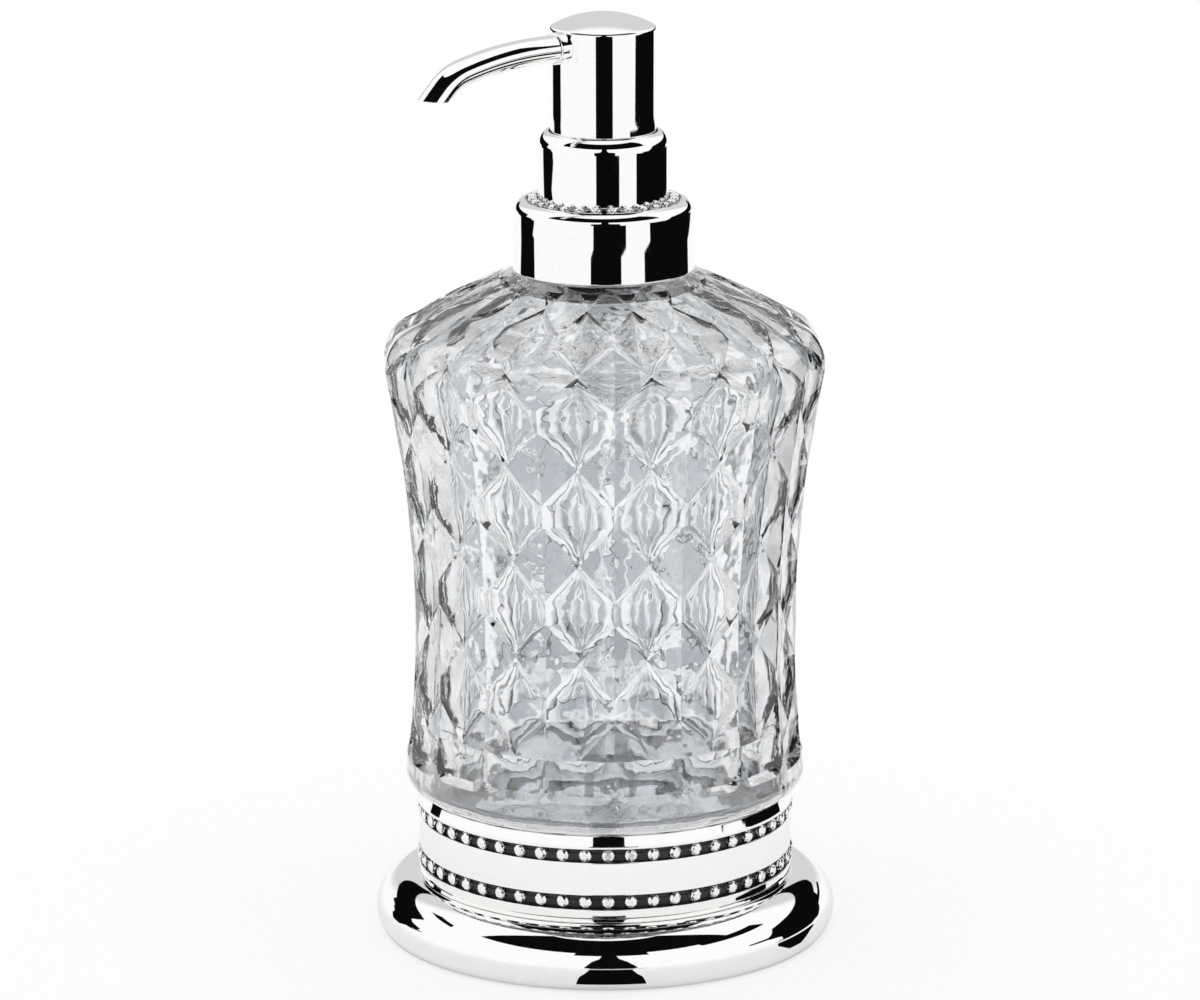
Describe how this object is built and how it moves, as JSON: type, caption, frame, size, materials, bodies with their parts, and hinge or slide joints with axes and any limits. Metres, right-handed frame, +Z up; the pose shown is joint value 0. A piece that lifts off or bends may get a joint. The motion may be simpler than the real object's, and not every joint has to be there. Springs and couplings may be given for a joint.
{
  "type": "soap pump dispenser",
  "caption": "Table-top soap dispenser: diamond-cut glass bottle in a plated foot ring with rows of stones, screw-on lotion pump with a curved swivelling spout.",
  "frame": {"origin": "on the floor under the middle of the round foot", "axes": "+Z up along the bottle and pump axis; at rest the spout points along -Y; +X to the right of the spout seen from behind it"},
  "size_m": [0.1, 0.1, 0.2013],
  "materials": {
    "chrome_plate": "mirror polished plating",
    "cup_chain_metal": "bright plated stone cups",
    "crystal": "faceted clear stones",
    "cut_glass": "clear pressed glass, polished",
    "pad_rubber": "matt non-slip pad",
    "seat_foam": "clear soft seat ring",
    "gasket_foam": "foamed liner",
    "white_plastic": "moulded polypropylene",
    "natural_plastic": "natural polypropylene",
    "piston_plastic": "natural polyethylene",
    "tube_plastic": "extruded polyethylene",
    "spring_steel": "drawn stainless wire",
    "ball_steel": "polished stainless"
  },
  "bodies": {
    "stand": {"foot_flange": "chrome_plate", "foot_pad": "pad_rubber", "holder_ring": "chrome_plate", "upper_cup_chain": "cup_chain_metal", "upper_crystals": "crystal", "lower_cup_chain": "cup_chain_metal", "lower_crystals": "crystal", "seat_pad": "seat_foam", "glass_bottle": "cut_glass"},
    "gasket": {"neck_gasket": "gasket_foam"},
    "pump": {"pump_housing": "natural_plastic", "stem_retainer": "white_plastic", "return_spring": "spring_steel", "dip_tube": "tube_plastic"},
    "collar": {"screw_cap": "white_plastic", "collar_shell": "chrome_plate", "collar_cup_chain": "cup_chain_metal", "collar_crystals": "crystal", "guide_collar": "chrome_plate"},
    "piston_group": {"piston": "piston_plastic", "piston_rod": "natural_plastic"},
    "head": {"stem": "white_plastic", "head_shell": "chrome_plate", "actuator_core": "white_plastic", "spout_tube": "chrome_plate", "spout_liner": "white_plastic", "spout_ferrule": "chrome_plate"},
    "ball": {"check_ball": "ball_steel"}
  },
  "joints": [
    {"name": "thread_rise", "type": "slide", "parent": "stand", "child": "gasket", "axis": [0, 0, 1], "range_m": [0, 0.00526]},
    {"name": "pump_withdraw", "type": "slide", "parent": "gasket", "child": "pump", "axis": [0, 0, 1], "range_m": [0, 0.14]},
    {"name": "collar_turn", "type": "hinge", "parent": "pump", "child": "collar", "pos_m": [0, 0, 0.15], "axis": [0, 0, 1], "range_deg": [0, 450]},
    {"name": "head_press", "type": "slide", "parent": "pump", "child": "piston_group", "axis": [0, 0, -1], "range_m": [0, 0.012], "stiffness_N_per_m": 600, "springref_m": -0.008, "deforming": ["return_spring"]},
    {"name": "head_swivel", "type": "hinge", "parent": "piston_group", "child": "head", "pos_m": [0, 0, 0.18], "axis": [0, 0, 1], "continuous": true},
    {"name": "ball_lift", "type": "slide", "parent": "pump", "child": "ball", "axis": [0, 0, 1], "range_m": [0, 0.0015]}
  ],
  "couplings": [
    {"joint": "thread_rise", "follows": "collar_turn", "m_per_rad": 0.00066845}
  ]
}
